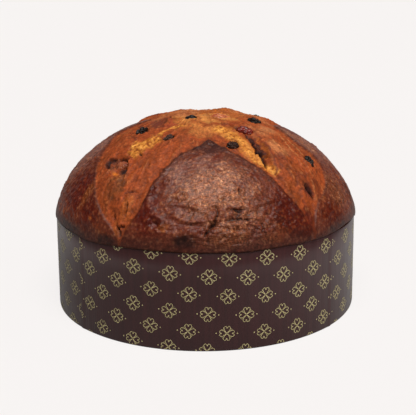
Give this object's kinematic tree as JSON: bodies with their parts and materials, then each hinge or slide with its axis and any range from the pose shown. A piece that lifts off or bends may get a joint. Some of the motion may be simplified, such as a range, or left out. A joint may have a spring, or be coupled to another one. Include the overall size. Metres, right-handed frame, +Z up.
{
  "type": "panettone",
  "caption": "Low, wide panettone with a domed brown crust scored in a cross, paler torn rays, raisins and candied peel, baked in a dark paper case with a gold ornament.",
  "frame": {"origin": "middle of the case's flat underside, on the surface the loaf stands on", "axes": "+Z up through the top of the dome, -Y towards the dark petal that faces the camera in the picture"},
  "size_m": [0.217, 0.2174, 0.1357],
  "materials": {
    "crust": "baked crust, dark brown on the petals and orange-brown to golden in the torn rays, with a soft sheen",
    "case_paper": "dark brown fluted baking paper with a satin film and a gold line ornament",
    "raisin": "baked raisin, black-brown, wrinkled, dull with small glints",
    "candied_peel": "candied orange peel, orange to dark red, slightly glossy"
  },
  "bodies": {
    "root": {"loaf": "crust", "paper_case": "case_paper", "raisin_1": "raisin", "raisin_2": "raisin", "raisin_3": "raisin", "raisin_4": "raisin", "raisin_5": "raisin", "raisin_6": "raisin", "raisin_7": "raisin", "raisin_8": "raisin", "raisin_9": "raisin", "raisin_10": "raisin", "candied_peel_1": "candied_peel", "candied_peel_2": "candied_peel", "candied_peel_3": "candied_peel", "candied_peel_4": "candied_peel"}
  },
  "joints": []
}
